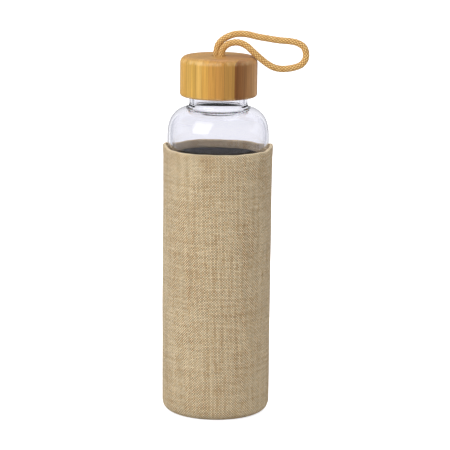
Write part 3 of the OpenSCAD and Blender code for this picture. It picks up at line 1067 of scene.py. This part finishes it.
FLOOR_R = 14.0
CAMERA_GLOW = 0.80                # what the floor adds to the camera's own rays,
GLASS_GLOW = 0.38                 # and to rays that come through the glass
MIRRORED_LOSS = 0.95              # how much of the floor is missing in reflections
WORLD_COLOUR = (0.955, 0.955, 1.0, 1)
WORLD_LIGHT = 0.80                # its strength as light,
WORLD_LIGHT_IN_GLASS = 1.02       # through the glass,
WORLD_LIGHT_SEEN = 1.2            # and as the camera sees it
MIRRORED_WORLD_LOW = 0.20         # the share of it that is left low down in reflections
AIM = (0, 0, 0.15)                # the place on the bottle's axis that lights and cards face


def make_floor():
    """Pale, over-lit floor, as a seamless sheet of studio paper gives."""
    g = Graph(bpy.data.materials.new("studio_paper"))
    fibre = g.noise(g.object_place(), 60.0, 4.0, 0.5)
    shade = g.spread(fibre, 0.3, 0.7, 0.745, 0.755)
    paper = g.node("ShaderNodeBsdfDiffuse", {"Color": g.join(shade, shade, shade)}).outputs[0]
    path = g.node("ShaderNodeLightPath", {}).outputs
    mirrored = g.times(path["Is Reflection Ray"], path["Is Glossy Ray"])
    paper = g.node("ShaderNodeMixShader", {0: g.times(mirrored, MIRRORED_LOSS), 1: paper}).outputs[0]
    strength = g.plus(
        g.times(path["Is Camera Ray"], CAMERA_GLOW), g.times(path["Is Transmission Ray"], GLASS_GLOW)
    )
    glow = g.node("ShaderNodeEmission", {"Strength": strength}).outputs[0]
    lit = g.node("ShaderNodeAddShader", {0: paper, 1: glow}).outputs[0]
    g.node("ShaderNodeOutputMaterial", {"Surface": lit})
    angle = even_angles(96)
    ring = np.stack([np.cos(angle), np.sin(angle), 0 * angle], axis=-1) * FLOOR_R
    rings = np.stack([ring * share for share in (0.02, 0.1, 0.4, 1.0)])
    floor = skin("studio_floor", rings, False, start_pole=(0, 0, 0))
    floor.location.z = -0.05 * MM
    floor.data.materials.append(g.owner)


def make_world():
    """Even pale surroundings whose lower part, in reflections, is a dark studio."""
    g = Graph(bpy.data.worlds.new("studio"))
    path = g.node("ShaderNodeLightPath", {}).outputs
    _, _, height = g.split(g.node("ShaderNodeTexCoord", {}).outputs["Generated"])
    mirrored = g.times(path["Is Reflection Ray"], path["Is Glossy Ray"])
    in_mirror = g.spread(height, 0.15, 0.75, MIRRORED_WORLD_LOW * WORLD_LIGHT, WORLD_LIGHT)
    strength = g.blend(mirrored, WORLD_LIGHT, in_mirror)
    strength = g.blend(path["Is Transmission Ray"], strength, WORLD_LIGHT_IN_GLASS)
    strength = g.blend(path["Is Camera Ray"], strength, WORLD_LIGHT_SEEN)
    light = g.node("ShaderNodeBackground", {"Color": WORLD_COLOUR, "Strength": strength})
    g.node("ShaderNodeOutputWorld", {"Surface": light.outputs[0]})
    bpy.context.scene.world = g.owner


def softbox(name, place, width, height, radiance):
    """Area light whose face has the given radiance wherever it is seen."""
    data = bpy.data.lights.new(name, "AREA")
    data.shape = "RECTANGLE"
    data.size = width
    data.size_y = height
    data.energy = radiance * math.pi * width * height
    light = bpy.data.objects.new(name, data)
    light.location = place
    light.rotation_euler = (Vector(AIM) - Vector(place)).to_track_quat("-Z", "Y").to_euler()
    light.visible_camera = False
    bpy.context.scene.collection.objects.link(light)


def card(name, place, width, height):
    """Pale grey card beside the set, seen only in reflections and through the glass."""
    g = Graph(bpy.data.materials.new(name))
    cloth = g.noise(g.object_place(), 400.0, 2.0)
    colour = g.ramp(cloth, [(0, (0.66, 0.67, 0.71)), (1, (0.70, 0.71, 0.75))])
    g.surface(Base_Color=colour, Roughness=0.9)
    w, h = width / 2, height / 2
    mesh = bpy.data.meshes.new(name)
    mesh.from_pydata([(-w, -h, 0), (w, -h, 0), (w, h, 0), (-w, h, 0)], [], [(0, 1, 2, 3)])
    mesh.materials.append(g.owner)
    made = bpy.data.objects.new(name, mesh)
    made.location = place
    made.rotation_euler = (Vector(AIM) - Vector(place)).to_track_quat("Z", "Y").to_euler()
    made.visible_camera = False
    made.visible_diffuse = False
    made.visible_shadow = False
    bpy.context.scene.collection.objects.link(made)


def make_studio():
    make_floor()
    make_world()
    softbox("key_light", (-0.58, -0.64, 0.74), width=0.74, height=0.90, radiance=2.65)
    softbox("top_light", (0.10, 0.25, 1.10), width=0.7, height=0.5, radiance=1.6)
    for name, side in (("dark_card_left", -1), ("dark_card_right", 1)):
        card(name, (0.62 * side, 0.70, 0.10), width=0.34, height=1.0)


# ---------------------------------------------------------------- assembly

# More light reaches the hem behind the glass with these than with the defaults
scene = bpy.context.scene
scene.view_settings.view_transform = "Standard"
scene.cycles.max_bounces = 24
scene.cycles.glossy_bounces = 16
scene.cycles.transmission_bounces = 24
scene.cycles.sample_clamp_indirect = 0
scene.cycles.blur_glossy = 0

make_camera()
cord_material = braided_cord()
make_carry_cord(cord_material)
make_knot(cord_material)

jute = woven_fabric()
black_cloth = lining_fabric()
make_glass(clear_glass())
make_sleeve_tube(jute)
panel("base_panel", BASE_SEAM_R, 0, FABRIC_T, 3, jute, "sleeve_base")
make_lining(black_cloth)
panel(
    "lining_base_panel", LINING_SEAM_R, LINING_FLOOR, LINING_T, 2, black_cloth,
    "lining_base",
)
make_gasket(silicone())
make_liner(liner_plastic())
make_bamboo_cap(bamboo())
make_studio()
